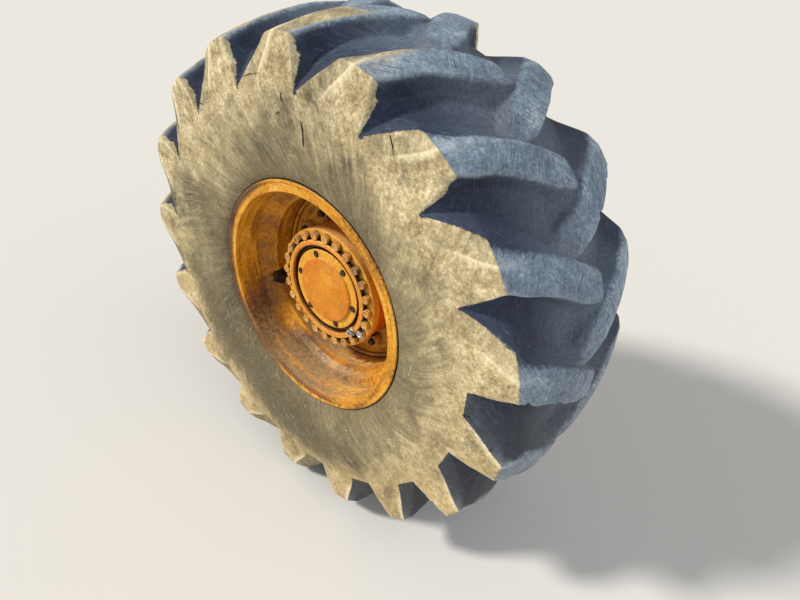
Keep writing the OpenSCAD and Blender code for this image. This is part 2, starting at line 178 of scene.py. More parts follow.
def add_node(tree, kind, *values, inputs=None, ramp=(), out=None, **settings):
    """Adds a shader node and returns an output of it, the first in use unless out names another.

    A kind in capitals is an operation on numbers, or on vectors where the first value is one, and a mix
    takes the type of what it mixes. Values fill the inputs in use in order, and inputs fills them by name."""
    types = [getattr(value, "type", "RGBA") for value in values]
    if kind.isupper():
        kind, settings["operation"] = "VectorMath" if types[0] == "VECTOR" else "Math", kind
    node = tree.nodes.new("ShaderNode" + kind)
    if kind == "Mix":
        node.data_type = {"VALUE": "FLOAT", "VECTOR": "VECTOR"}.get(types[1], "RGBA")
    for name, value in settings.items():
        setattr(node, name, value)
    if ramp:
        elements = node.color_ramp.elements
        while len(elements) < len(ramp):
            elements.new(0.5)
        for element, (position, shade) in zip(elements, ramp):
            element.position = position
            element.color = rgba(shade)
    in_use = [socket for socket in node.inputs if socket.enabled]
    named = [(node.inputs[name], value) for name, value in (inputs or {}).items()]
    for socket, value in [*zip(in_use, values), *named]:
        if isinstance(value, bpy.types.NodeSocket):
            tree.links.new(value, socket)
        else:
            socket.default_value = rgba(value) if socket.type == "RGBA" else value
    return node.outputs[out] if out else next((socket for socket in node.outputs if socket.enabled), None)


def new_material(name, build, *values, **settings):
    """A material whose nodes build adds. It gets the function that adds one and the place on the piece,
    and returns the shader's inputs."""
    material = bpy.data.materials.new(name)
    material.use_nodes = True
    material.node_tree.nodes.clear()
    add = partial(add_node, material.node_tree)
    inputs = build(add, add("TexCoord", out="Object"), *values, **settings)
    add("OutputMaterial", add("BsdfPrincipled", inputs=inputs))
    return material


def per_mm(size_mm):
    """Noise scale for a pattern whose features are about this many millimetres across."""
    return 1 / (size_mm * MM)


def dusty_rubber(add, place):
    """Natural rubber tread compound, moulded and worn in the forest.

    It gives dark bottoms and scuffed grey tops with fine scratches, both in painted blue shade, and sidewalls
    under tan dust."""
    shades = finish_colours()
    lay = add("UVMap", uv_map="lay")
    height, side, dust_and_sunlight, edge, tooth = [add("Attribute", attribute_name=name, out="Fac")
                                       for name in ("height", "side", "dust_and_sunlight", "edge", "tooth")]
    patches, mottle, speck, grain = [
        add("TexNoise", place, per_mm(size), detail, rough)
        for size, detail, rough in ((210, 4, 0.55), (48, 9, 0.72), (11, 6, 0.78), (5, 3, 0.7))]
    # two sets of scratches that cross and take turns in patches, arcs round the tyre, and broad wipes
    strokes = []
    for turn, thin, size in ((38, 24, 60), (-40, 24, 75), (8, 30, 120), (48, 8, 170)):
        laid = add("Mapping", inputs={"Vector": lay, "Rotation": (0, 0, math.radians(turn)),
                                      "Scale": (1, 1 / thin, 1)}, vector_type="TEXTURE")
        strokes.append(add("TexNoise", laid, per_mm(size), 3.0, 0.7, inputs={"Distortion": 0.4}))
    which = add("MapRange", patches, 0.46, 0.54)
    streaks = add("Mix", which, strokes[0], strokes[1])
    hairs = add("MapRange", streaks, 0.6, 0.64)
    arcs = add("MapRange", strokes[2], 0.67, 0.7)
    nicks = add("MapRange", streaks, 0.34, 0.29)

    worn_mix = add("Mix", 0.35, mottle, streaks)
    clouded = add("Mix", 0.4, worn_mix, patches)
    tone = add("Mix", 0.3, clouded, speck)
    # the blues in these ramps are painted shade lit by the sky, laid over grey rubber
    top_mix = add("ValToRGB", tone, ramp=[
        (0.37, "#3b4653"), (0.45, "#627283"), (0.52, shades.scuffed_rubber_and_shade), (0.62, "#b8c2c9")])
    floor_mix = add("ValToRGB", tone, ramp=[
        (0.36, "#131e30"), (0.5, shades.void_rubber_and_shade), (0.6, "#33465f"), (0.72, "#5f7184")])
    soiled = add("MapRange", patches, 0.52, 0.66, 0, 0.6)
    low = add("MapRange", add("SeparateXYZ", place, out="Z"), 0.25, -0.35)
    # the voids are scuffed paler towards the middle of the tread
    off_middle = add("ABSOLUTE", add("SeparateXYZ", lay, out="Y"))
    inward = add("MapRange", off_middle, 0.23, 0.08)
    rubbed_in = add("MULTIPLY", inward, tone)
    scuffed = add("Mix", rubbed_in, floor_mix, "#7c8a99")
    earthy = add("MULTIPLY_ADD", soiled, low, 0.1)
    greyed = add("MULTIPLY", low, 0.55)
    grey = add("Mix", greyed, scuffed, "#303237")
    floors = add("Mix", earthy, grey, "#40372f")
    bitten = add("MULTIPLY_ADD", speck, 0.25, height)
    lifted = add("MapRange", bitten, 0.86, 1.04)
    tread = add("Mix", lifted, floors, top_mix)
    clear = add("MapRange", lifted, 0, 1, 0.14, 0.7)
    scuffs = add("MULTIPLY", hairs, clear)
    scraped = add("Mix", scuffs, tread, "#b3bfc9")
    dents = add("MapRange", streaks, 0.42, 0.34, 0, 0.75)
    dented = add("Mix", dents, scraped, "#2b3744")
    # the painted blue shade of the tread is less saturated on the low part of the tyre
    blue_shade_saturation = add("MapRange", low, 0, 1, 1.0, 0.45)
    treads = add("HueSaturation", inputs={"Saturation": blue_shade_saturation, "Color": dented})

    # the wall is wiped in broad strokes from the teeth towards the rim
    wiped = add("Mix", 0.4, patches, strokes[3])
    stain = add("Mix", 0.25, wiped, mottle)
    side_mix = add("ValToRGB", stain, ramp=[
        (0.38, "#4f4734"), (0.46, "#7f7356"), (0.54, shades.rubber_side), (0.64, "#d2c298")])
    # oily dirt darkens the wall next to the rim, and painted shade darkens it on the lower left, away from
    # the light
    flat = add("MULTIPLY", place, (1, 0, 1))
    radius = add("LENGTH", flat)
    near_rim = add("MapRange", radius, 0.5, 0.37, 0, 0.6)
    low_left = add("DOT_PRODUCT", place, (-0.45, 0, -0.9))
    shady = add("MapRange", low_left, 0.1, 0.42, 0, 0.9)
    rim_dirt_and_low_shade = add("MAXIMUM", near_rim, shady)
    off_teeth = add("MapRange", tooth, 0, 0.8, 1.0, 0.15)
    grime = add("MULTIPLY", rim_dirt_and_low_shade, off_teeth)
    # the dark olive here is dirt by the rim and painted shade on the lower left
    side_mix = add("Mix", grime, side_mix, "#4e4631")
    crust = add("Mix", 0.5, mottle, speck)
    dust_mix = add("ValToRGB", crust, ramp=[
        (0.36, "#6f6040"), (0.44, "#ab986c"), (0.53, shades.dust_and_sunlight), (0.63, "#f4e8c4")])
    warm = add("MULTIPLY", low, 0.45)
    dust_mix = add("Mix", warm, dust_mix, "#c9ab70")
    laid_on = add("MULTIPLY_ADD", stain, 2.5, tooth)
    drift = add("MULTIPLY_ADD", grime, -0.5, laid_on)
    dusted = add("MapRange", drift, 1.25, 2.2, 0.05)
    walls = add("Mix", dusted, side_mix, dust_mix)
    smudges = add("TexNoise", place, per_mm(120), 7.0, 0.68)
    smudged = add("MapRange", smudges, 0.53, 0.66, 0, 0.75)
    walls = add("Mix", smudged, walls, "#665b40")
    pale_lines = add("MULTIPLY_ADD", hairs, 0.4, arcs, use_clamp=True)
    lined = add("Mix", pale_lines, walls, "#dccfa9")
    pits = add("MapRange", speck, 0.36, 0.27)
    marks = add("MULTIPLY_ADD", nicks, 0.5, pits, use_clamp=True)
    wall_skin = add("Mix", marks, lined, "#50462f")
    # dust ends in a ragged line at the lugs' tips, and dust and painted sunlight thin out along their crests
    ragged = add("MULTIPLY_ADD", speck, 0.9, side)
    caked = add("MapRange", ragged, 0.8, 1.0)
    thinned = add("MULTIPLY_ADD", tone, 1.3, dust_and_sunlight)
    drifted = add("MapRange", thinned, 0.85, 1.4, 0, 0.95)
    coated = add("MAXIMUM", caked, drifted)
    skin = add("Mix", coated, treads, wall_skin)
    # edges and creases are worn pale and carry a painted highlight
    rubbed_and_highlit = add("Mix", coated, "#aab4ba", "#eddfb6")
    worn = add("Mix", edge, skin, rubbed_and_highlit)
    gritty = add("Mix", 0.6, speck, grain)
    fine = add("MapRange", gritty, 0.36, 0.64, 0.7, 1.26)
    tint = add("Mix", 1.0, worn, fine, blend_type="MULTIPLY")
    relief = add("MULTIPLY_ADD", mottle, 0.6, gritty)
    bumps = add("Bump", inputs={"Strength": 0.6, "Distance": 2.4 * MM, "Height": relief})
    scored = add("Bump", inputs={
        "Strength": 0.45, "Distance": 1.2 * MM, "Height": streaks, "Normal": bumps})
    rough = add("MapRange", mottle, 0, 1, 0.6, 0.92)
    return {"Base Color": tint, "Roughness": rough, "IOR": 1.5, "Normal": scored}


def worn_enamel(add, place, paint, pale, dark, rust_share, streaky, rust_side=(0, 0, 0), lip_side=(0, 0, 0),
                zones=(), face=None, grime=0.62, rounding=2.5):
    """Sprayed enamel on cast or rolled steel, weathered outdoors.

    Its colour has bleached in clouds, black dirt and painted shade fill the corners, dust lies where it faces
    up, thin cracks run through it, brown smears run round the wheel, and edges are chipped down to rust.
    zones gives bands of other colours as (radius in mm, colour), and face the colour of bolts' ends.
    rust_side and lip_side point to where the smears gather on the rim and on its lip."""
    shades = finish_colours()
    # place laid out round the wheel, so that smears run round it without a seam
    flat = add("MULTIPLY", place, (1, 0, 1))
    radius = add("LENGTH", flat)
    outward = add("NORMALIZE", flat)
    round_place = add("SCALE", outward, 0.3)
    depth = add("SeparateXYZ", place, out="Y")
    across = add("ADD", depth, radius)
    lifted = add("CombineXYZ", inputs={"Y": add("MULTIPLY", across, 5.0)})
    along = add("ADD", round_place, lifted)
    clouds = add("TexNoise", place, per_mm(85), 6.0, 0.62)
    specks = add("TexNoise", place, per_mm(13), 8.0, 0.74)
    bands = add("TexNoise", along, per_mm(150), 2.0, inputs={"Distortion": 0.3})
    smears = add("Mix", 0.42, bands, specks)
    grit = add("TexNoise", place, per_mm(2.5), 3.0)
    smooth = add("Bevel", rounding * MM, samples=4)
    normal = add("NewGeometry", out="Normal")
    alike = add("DOT_PRODUCT", smooth, normal)
    edge = add("MapRange", alike, 0.8, 0.99, 1.0, 0.0)
    # ambient occlusion finds the corners, which get black dirt and painted shade
    open_sky = add("AmbientOcclusion", inputs={"Distance": 24 * MM}, samples=6, out="AO")
    corner = add("MapRange", open_sky, 0.75, 0.3)
    up = add("DOT_PRODUCT", normal, (0, 0, 1))
    warp = add("Mix", 0.04, place, add("TexNoise", place, per_mm(30), out="Color"))
    crackle = add("TexVoronoi", warp, per_mm(26), feature="DISTANCE_TO_EDGE")

    base = add("ValToRGB", clouds, ramp=[(0.36, dark), (0.5, paint), (0.66, pale)])
    # brown smears gather on one side, and run further up it on the rim's lip
    side = add("DOT_PRODUCT", outward, rust_side)
    lip = add("MapRange", radius, 0.333, 0.343)
    ledge = add("MapRange", radius, 0.28, 0.315, 0.45)
    there = add("MapRange", side, 0.6, 0.95, 0, 0.16, interpolation_type="SMOOTHSTEP")
    lip_ahead = add("DOT_PRODUCT", outward, lip_side)
    up_side = add("MapRange", lip_ahead, 0.1, 0.75, 0, 0.23, interpolation_type="SMOOTHSTEP")
    towards = add("Mix", lip, add("MULTIPLY", there, ledge), up_side)
    soiled = add("SUBTRACT", smears, towards)
    smear = add("ValToRGB", soiled, ramp=[
        (0.3, "#43302e"), (0.37, "#6a5046"), (0.41, dark), (0.5, paint), (0.62, pale)])
    coat = add("Mix", streaky, base, smear)
    if zones:
        # the ramp ends at this radius in mm
        ramp_end = 400
        scaled = add("MULTIPLY", radius, 1 / (ramp_end * MM))
        zone = add("ValToRGB", scaled, ramp=[(r / ramp_end, code) for r, code in zones])
        coat = add("Mix", 0.55, coat, zone)
    if face:
        ahead = add("DOT_PRODUCT", normal, (0, -1, 0))
        end = add("MapRange", ahead, 0.9, 0.98, 0, 0.5)
        coat = add("Mix", end, coat, face)
    dust_amount = add("MULTIPLY", up, specks)
    dust_mask = add("MapRange", dust_amount, 0.26, 0.46, 0, 0.35)
    dusted = add("Mix", dust_mask, coat, "#e3cb96")
    thin = add("MapRange", crackle, 0.045, 0.015)
    shown = add("MapRange", clouds, 0.5, 0.56, 0, 0.85)
    most = add("MapRange", lip, 0, 1, 0.3, 1.0)
    often = add("MULTIPLY", shown, most)
    crack = add("MULTIPLY", thin, often)
    cracked = add("Mix", crack, dusted, "#5a3a1c")
    spread = add("MULTIPLY_ADD", edge, 0.2, specks)
    near = add("MULTIPLY_ADD", towards, 0.6, spread)
    rust_mask = add("MapRange", near, 0.7 - rust_share, 0.84 - rust_share)
    rust_tone = add("ValToRGB", grit, ramp=[(0.3, "#33211a"), (0.5, shades.rust), (0.7, "#98603a")])
    rusted = add("Mix", rust_mask, cracked, rust_tone)
    # the near black of the corners is dirt and painted shade
    dirt = add("MULTIPLY_ADD", specks, 0.8, corner)
    corner_dirt_and_shade_mask = add("MapRange", dirt, grime, grime + 0.48)
    skin = add("Mix", corner_dirt_and_shade_mask, rusted, "#241409")
    gritty = add("TexNoise", place, per_mm(6), 3.0, 0.7)
    fine = add("MapRange", gritty, 0.32, 0.68, 0.76, 1.2)
    tint = add("Mix", 1.0, skin, fine, blend_type="MULTIPLY")
    relief = add("MULTIPLY_ADD", rust_mask, 0.5, specks)
    bumps = add("Bump", inputs={"Strength": 0.45, "Distance": 1.2 * MM, "Height": relief, "Normal": smooth})
    rough = add("MapRange", rust_mask, 0, 1, 0.48, 0.88)
    return {"Base Color": tint, "Roughness": rough, "IOR": 1.5, "Specular IOR Level": 0.22, "Normal": bumps}


def dirty_steel(add, place, clean, dirt, metallic, dirt_share):
    """Turned or forged bolt steel, dull from weather, with patches of dirt."""
    cloud = add("TexNoise", place, per_mm(9), 7.0, 0.7)
    fine = add("TexNoise", place, per_mm(1.6), 3.0)
    mask = add("MapRange", cloud, 0.62 - 0.3 * dirt_share, 0.72 - 0.3 * dirt_share)
    tone = add("Mix", mask, clean, dirt)
    rough = add("MapRange", mask, 0, 1, 0.38, 0.9)
    metal = add("MapRange", mask, 0, 1, metallic, 0.0)
    bumps = add("Bump", inputs={"Strength": 0.35, "Distance": 0.5 * MM, "Height": fine})
    return {"Base Color": tone, "Roughness": rough, "Metallic": metal, "Normal": bumps}


def black_rubber(add, place):
    """Moulded nitrile rubber, smooth and slightly shiny under a film of dirt."""
    film = add("TexNoise", place, per_mm(12), 6.0)
    tone = add("ValToRGB", film, ramp=[(0.4, "#17130f"), (0.7, "#4a3723")])
    bumps = add("Bump", inputs={"Strength": 0.2, "Distance": 0.4 * MM, "Height": film})
    return {"Base Color": tone, "Roughness": 0.55, "IOR": 1.5, "Normal": bumps}


def cut_inside_and_shade(add, place):
    """Inside of cuts in the rubber: black rubber and painted shade, dull, so that they read as deep."""
    grain = add("TexNoise", place, per_mm(3), 3.0)
    tone = add("ValToRGB", grain, ramp=[(0.4, "#0d0c0b"), (0.75, "#2b251b")])
    return {"Base Color": tone, "Roughness": 0.95, "IOR": 1.5}


def old_grease(add, place):
    """Old grease pressed out round the cover: nearly black, half dull with dust, with wet glints."""
    lumps = add("TexNoise", place, per_mm(6), 5.0)
    tone = add("ValToRGB", lumps, ramp=[(0.4, "#140d08"), (0.7, "#46301a")])
    rough = add("MapRange", lumps, 0.35, 0.65, 0.25, 0.8)
    bumps = add("Bump", inputs={"Strength": 0.6, "Distance": 1.0 * MM, "Height": lumps})
    return {"Base Color": tone, "Roughness": rough, "IOR": 1.5, "Normal": bumps}


def oily_casting(add, place):
    """Sand-cast steel with a skin of oil and dust: grainy, dark and dull, with paler patches."""
    sand = add("TexNoise", place, per_mm(2.8), 4.0, 0.7)
    oil = add("TexNoise", place, per_mm(45), 6.0)
    tone = add("ValToRGB", oil, ramp=[(0.3, "#2a2623"), (0.52, "#4a4540"), (0.7, "#6b6258")])
    rough = add("MapRange", oil, 0, 1, 0.35, 0.75)
    bumps = add("Bump", inputs={"Strength": 0.5, "Distance": 0.9 * MM, "Height": sand})
    return {"Base Color": tone, "Roughness": rough, "Metallic": 0.6, "Normal": bumps}


def matt_floor(add, place):
    """Matt studio floor paint, pale and even, so that only the wheel's shadow shows on it."""
    roller = add("TexNoise", place, per_mm(40), 3.0)
    bumps = add("Bump", inputs={"Strength": 0.05, "Distance": 0.3 * MM, "Height": roller})
    return {"Base Color": finish_colours().floor, "Roughness": 0.9, "Normal": bumps}


# Meshes

def new_piece(name, points, faces, material, slot, body="wheel", replaces=(), creases=None):
    """A smooth mesh in the frame that rides on a body. Edges sharper than creases, in degrees, stay sharp."""
    mesh = bpy.data.meshes.new(name)
    mesh.from_pydata([tuple(p) for p in points], [], [tuple(f) for f in faces])
    mesh.validate()
    mesh.shade_smooth()
    if creases is not None:
        mesh.set_sharp_from_angle(angle=math.radians(creases))
    mesh.materials.append(material)
    piece = bpy.data.objects.new(name, mesh)
    bpy.context.scene.collection.objects.link(piece)
    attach(piece, body)
    if replaces:
        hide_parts(*replaces)
    return piece


def dress(node, material):
    """Gives a CAD node its finish. Its shape stays as it is."""
    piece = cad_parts[node]
    piece.data.materials.clear()
    piece.data.materials.append(material)


def on_wheel(radius, y, angle):
    """A point at this radius and place along the axis, at an angle in degrees from the top."""
    a = np.radians(angle)
    return np.stack(np.broadcast_arrays(radius * np.sin(a), y, radius * np.cos(a)), -1)


def torus_faces(rows, columns):
    """Quads of a grid that closes on itself both ways."""
    r, c = np.meshgrid(np.arange(rows), np.arange(columns), indexing="ij")

    def at(i, j):
        return (i % rows) * columns + j % columns

    return np.stack([at(r, c), at(r, c + 1), at(r + 1, c + 1), at(r + 1, c)], -1).reshape(-1, 4)


def join(parts):
    """Several (points, faces) as one."""
    points, faces, start = [], [], 0
    for some_points, some_faces in parts:
        points.extend(some_points)
        faces.extend(tuple(i + start for i in face) for face in some_faces)
        start += len(some_points)
    return points, faces


def placed(part, radius, y, angle, turn=0.0):
    """A part drawn about its own Z axis, standing on the wheel with its Z towards -Y."""
    spot = Vector(on_wheel(radius, y, angle))
    matrix = Matrix.Translation(spot) @ Matrix.Rotation(math.radians(angle), 4, "Y") \
        @ Matrix.Rotation(math.radians(90), 4, "X") @ Matrix.Rotation(math.radians(turn), 4, "Z")
    points, faces = part
    return [matrix @ Vector(p) for p in points], faces


def stack(rings):
    """A solid from rings of equal length, bottom first, each a list of points."""
    count = len(rings[0])
    points = [p for ring in rings for p in ring]
    faces = [(i * count + j, i * count + (j + 1) % count, (i + 1) * count + (j + 1) % count,
              (i + 1) * count + j) for i in range(len(rings) - 1) for j in range(count)]
    faces.append(tuple(range(count - 1, -1, -1)))
    faces.append(tuple((len(rings) - 1) * count + j for j in range(count)))
    return points, faces


def ring(radius, z, count=24, shape=None):
    """A ring of points about Z. shape gives the radius and height at an angle, in place of a circle."""
    points = []
    for i in range(count):
        a = 2 * math.pi * i / count
        r, h = (radius, z) if shape is None else shape(a)
        points.append((r * math.cos(a), r * math.sin(a), h))
    return points


def hex_head(flats, height, washer_r, washer_t, sunk):
    """A forged hexagon head on its washer face, with the usual cone cut on its corners and a dimple."""
    # radius of the flat on top, slope of the cone in degrees, rounding of the washer, points in a ring
    inner, slope, soft, count = 0.95 * flats / 2, 28, 0.4 * MM, 48
    top = washer_t + height

    def outline(angle):
        return flats / 2 / math.cos((angle + math.pi / 6) % (math.pi / 3) - math.pi / 6)

    def cone(angle):
        return outline(angle), top - (outline(angle) - inner) * math.tan(math.radians(slope))

    washer = [(washer_r - soft, -sunk), (washer_r, soft), (washer_r, washer_t - soft),
              (washer_r - 0.5 * MM, washer_t)]
    sides = [lambda a: (outline(a) + 0.1 * MM, washer_t), lambda a: (outline(a), washer_t + 0.6 * MM), cone]
    dimple = [(inner, top), (0.62 * inner, top), (0.5 * inner, top - 0.13 * inner)]
    rings = [ring(r, z, count) for r, z in washer] + [ring(0, 0, count, side) for side in sides] \
        + [ring(r, z, count) for r, z in dimple]
    return stack(rings)


# Tyre

# A lug from its nose past the middle to its foot on the sidewall. Columns: place along the lug's outline
# in mm, then in degrees from its tip the base's trailing edge, the far edge of the trailing facet, the
# top's two edges and the base's leading edge, and how much of its height the facet has lost.
LUG = np.array([
    (-72, 4.6, 6.0, 7.0, 10.4, 13.4, 0.2), (-48, 3.6, 5.0, 6.0, 11.0, 13.0, 0.2),
    (10, 1.2, 2.8, 3.6, 10.1, 12.0, 0.2), (105, -3.5, -1.0, -0.1, 6.6, 8.7, 0.18),
    (185, -8.0, -3.7, -2.7, 3.35, 5.2, 0.14), (240, -11.5, -5.1, -3.7, 1.8, 3.6, 0.1),
    (279, -14.5, -7.6, -4.5, 0.25, 2.2, 0.16), (320, -16.3, -11.0, -6.1, 0.85, 2.4, 0.3),
    (361, -17.4, -14.7, -8.5, 1.45, 2.4, 0.39), (402, -18.5, -18.3, -10.8, 2.0, 2.4, 0.49)])
NOSE_TOP = -54.0
NOSE_FOOT = -98.0
# places in mm between which something changes: a lug's columns end past the middle, the tread turns
# into the shoulder, dust thickens on the wall by radius, and grooves between lugs open up
NOSE_ENDS = 72, 120
SHOULDER = 190, 270
DUSTY_WALL = 470, 640
PACKED = 38, 115
# thickness of the casing under the tread in mm
CASING_T = 28
# the far side's lugs wear as if numbered from here
FAR_LUGS = 40


def curve_through(x, xs, ys):
    """Smooth curve through points, by cubic pieces."""
    slopes = np.gradient(ys, xs)
    x = np.clip(x, xs[0], xs[-1])
    i = np.clip(np.searchsorted(xs, x) - 1, 0, len(xs) - 2)
    span = xs[i + 1] - xs[i]
    t = (x - xs[i]) / span
    return ((1 + 2 * t) * (1 - t) ** 2 * ys[i] + t * (1 - t) ** 2 * span * slopes[i]
            + t * t * (3 - 2 * t) * ys[i + 1] + t * t * (t - 1) * span * slopes[i + 1])


def soft_step(x, low, high):
    t = np.clip((x - low) / (high - low), 0, 1)
    return t * t * (3 - 2 * t)


def soft_start(x, width):
    """0 before -width, x after +width, and a smooth bend between."""
    return np.where(x < -width, 0, np.where(x > width, x, (x + width) ** 2 / (4 * width)))


def smooth_line(points, spread):
    """Points along a line, 1 mm apart, with its corners rounded."""
    steps = np.hypot(*np.diff(points, axis=0).T)
    along = np.concatenate([[0], np.cumsum(steps)])
    places = np.arange(0, along[-1], 1.0)
    line = np.stack([np.interp(places, along, points[:, k]) for k in (0, 1)], -1)
    reach = int(3 * spread)
    kernel = np.exp(-0.5 * (np.arange(-reach, reach + 1) / spread) ** 2)
    kernel /= kernel.sum()
    padded = np.concatenate([2 * line[:1] - line[reach:0:-1], line, 2 * line[-1:] - line[-2:-reach - 2:-1]])
    return np.stack([np.convolve(padded[:, k], kernel, "valid") for k in (0, 1)], -1)


class TyreShape:
    """The tyre's outline in mm, and how high the lugs stand at any place of it."""

    def __init__(self, sizes):
        to_mm = 1 / MM
        self.half = sizes.width * to_mm / 2
        self.crown, self.shoulder = sizes.crown_r * to_mm, sizes.shoulder_r * to_mm
        self.tip, self.depth = sizes.shoulder_u * to_mm, sizes.tread_d * to_mm
        self.notch, self.wide = sizes.notch_r * to_mm, sizes.wide_r * to_mm
        self.flange, self.seat = sizes.flange_r * to_mm, sizes.seat_r * to_mm
        self.rim = sizes.rim_w * to_mm
        self.count, self.start = sizes.lug_n, sizes.lug_start
        self.pitch = 360 / self.count
        self.notch_u = self.half - 2.5
        self.end = self.tip + self.shoulder - self.notch
        u = np.arange(0, self.tip + 1)
        crown = np.stack([u, self.crown - (self.crown - self.shoulder) * (u / self.tip) ** 2], -1)
        r = np.arange(self.shoulder - 1, self.notch - 1, -1.0)
        wall = np.stack([self.wall_u(r), r], -1)
        self.top = smooth_line(np.concatenate([crown, wall]), 3.0)
        u = np.linspace(0, self.notch_u, 400)
        low = self.crown - self.depth
        floor = np.stack([u, low - (low - self.notch) * (u / self.notch_u) ** 3.2], -1)
        self.floor = smooth_line(floor, 4.0)

    def wall_u(self, r):
        lean = ((r - self.wide) / (self.shoulder - self.wide)) ** 1.7
        return self.half - (self.half - self.tip) * lean

    def profile(self, v, line):
        """Point of the top's or the floor's line at a place along the lug's outline."""
        share = np.abs(v) / self.end
        places = np.linspace(0, 1, len(line))
        return np.stack([np.interp(share, places, line[:, k]) for k in (0, 1)], -1)

    def edges(self, v):
        """Angles of a lug's lines at a place along it, in the order of the table's columns, and the loss."""
        return [curve_through(v, LUG[:, 0], LUG[:, k]) for k in range(1, 7)]

    def wobble(self, v, lug, kind):
        """Uneven wear of an edge in degrees, different on each lug."""
        seed = lug * 7.31 + kind * 3.17
        waves = 0.1 * np.sin(v / 41 + seed) + 0.05 * np.sin(v / 17.3 + 2.3 * seed)
        # bites out of the leading edge, many on some lugs and few on others
        chips = np.sin(v / 9.7 + 5.1 * seed) + np.sin(v / 5.9 + 3.3 * seed) + np.sin(v / 23 + seed)
        bites = 0.42 * np.maximum(chips - 1.1, 0) * (0.15 + 0.85 * np.sin(1.9 * seed) ** 4)
        return waves - bites * (kind == 1)

    def lug_height(self, v, angle, side):
        """How high this side's lugs stand, 0 to 1, how near an edge, how far off their tops are in mm, and
        whether this is past the crease of a trailing facet."""
        base_low, facet, top_low, top_high, base_high, loss = self.edges(v)
        middle = (base_low + base_high) / 2
        turned = angle - self.start - (self.pitch / 2 if side else 0) - middle
        index = np.round(turned / self.pitch)
        inside = turned - index * self.pitch + middle
        lug = index % self.count + side * FAR_LUGS
        crease = top_low - inside
        top_low = top_low + self.wobble(v, lug, 0)
        top_high = top_high + self.wobble(v, lug, 1)
        facet = facet + self.wobble(v, lug, 2)
        wide = np.maximum(top_low - facet, 0.3)
        steep = np.maximum(facet - base_low, 0.15)
        low = top_low - inside
        high = (inside - top_high) / np.maximum(base_high - top_high, 0.3)
        # the noses are worn rounder and lower than the shoulders
        worn = soft_step(-v, -90, 60)
        bend = 0.07 + 0.2 * worn
        gentle, sharp = loss / wide, (1 - loss) / steep
        fall = gentle * soft_start(low, 0.25 + 0.6 * worn) \
            + (sharp - gentle) * soft_start(low - wide, 0.14 + 0.5 * worn) \
            - sharp * soft_start(low - wide - steep, 0.3 * steep) \
            + soft_start(high, bend) - soft_start(high - 1, 0.3)
        nose = (NOSE_TOP - v) / (NOSE_TOP - NOSE_FOOT)
        fall = fall + soft_start(nose, 0.45) - soft_start(nose - 1, 0.3)
        on_side = soft_step(v, *SHOULDER)
        # a mask along the lugs' edges and creases for pale wear and a painted highlight
        near_edge = np.maximum(0.9 * np.exp(-(crease / 0.42) ** 2) * on_side * (1 - soft_step(v, 350, 400)),
                               (0.28 + 0.4 * on_side) * np.exp(-(high / 0.13) ** 2))
        past = soft_step(crease, 0.1, 0.6) * on_side
        across = np.maximum(low, inside - top_high) * self.crown * math.pi / 180
        reach = np.hypot(np.maximum(across, 0), np.maximum(NOSE_TOP - v, 0))
        return np.clip(1 - fall, 0, 1) * (1 - 0.14 * worn), near_edge, reach, past

    def facet_height(self, v):
        """Height of the trailing facet's far edge at a place along the lugs."""
        return 1 - float(curve_through(np.array(float(v)), LUG[:, 0], LUG[:, 6]))

    def columns(self, w):
        """Angles of one pitch's columns in a row: flank, facet, top, flank and void of each side's lug."""
        own, other = self.slots(w), self.slots(-w)
        other = [x + self.pitch / 2 for x in other]
        lost_own, lost_other = soft_step(-w, *NOSE_ENDS), soft_step(w, *NOSE_ENDS)
        free_own = np.linspace(other[4] - self.pitch, other[0], 7)[1:-1]
        free_other = np.linspace(own[4], own[0] + self.pitch, 7)[1:-1]
        own = [a + (b - a) * lost_own for a, b in zip(own, free_own)]
        other = [a + (b - a) * lost_other for a, b in zip(other, free_other)]
        own[4], other[0] = self.valley(own[3], own[4], other[0], other[1])
        other[4], following = self.valley(other[3], other[4], own[0] + self.pitch, own[1] + self.pitch)
        own[0] = following - self.pitch
        marks = [*own, *other, own[0] + self.pitch]
        steps = [FLANK, FACET, TOP, FLANK[::-1], VOID] * 2
        angles = []
        for a, b, part in zip(marks[:-1], marks[1:], steps):
            shares = np.concatenate([[0], np.cumsum(part)])[:-1] / np.sum(part)
            angles.extend(a + (b - a) * shares)
        return np.array(angles)

    def slots(self, v):
        return [float(x) for x in self.edges(np.array(float(v)))[:5]]

    @staticmethod
    def valley(top, foot, next_foot, next_top):
        """The bottom between two lugs: their feet as they are, or one line where the feet run together."""
        if next_foot - foot > 0.3:
            return foot, next_foot
        middle = min(max((foot + next_foot) / 2, top + 0.25), next_top - 0.25)
        return middle - 0.1, middle + 0.1


# widths of the columns across a lug's flank from its foot, its facet and top, and across a void
FLANK = [1.6, 1.5, 1.2, 0.8]
FACET = [0.35, 2.0, 0.35]
TOP = [0.25, 1.3, 2.0, 2.0, 1.3, 0.25]
VOID = [1.0, 1.4, 1.0]


def crown_rows(shape):
    """Places across the tread, from the near notch to the far one. They are closer at tips and noses."""
    side = [shape.end - 1, shape.end - 4, shape.end - 10]
    side += list(np.linspace(shape.end - 20, shape.tip + 12, 9))
    side += [shape.tip + k for k in (7, 3.5, 0, -3.5, -7, -12)]
    side += list(np.linspace(shape.tip - 20, 100, 15))
    side += list(np.linspace(92, 44, 8)) + list(np.linspace(36, 6, 4))
    return np.array(side + [-x for x in reversed(side)])


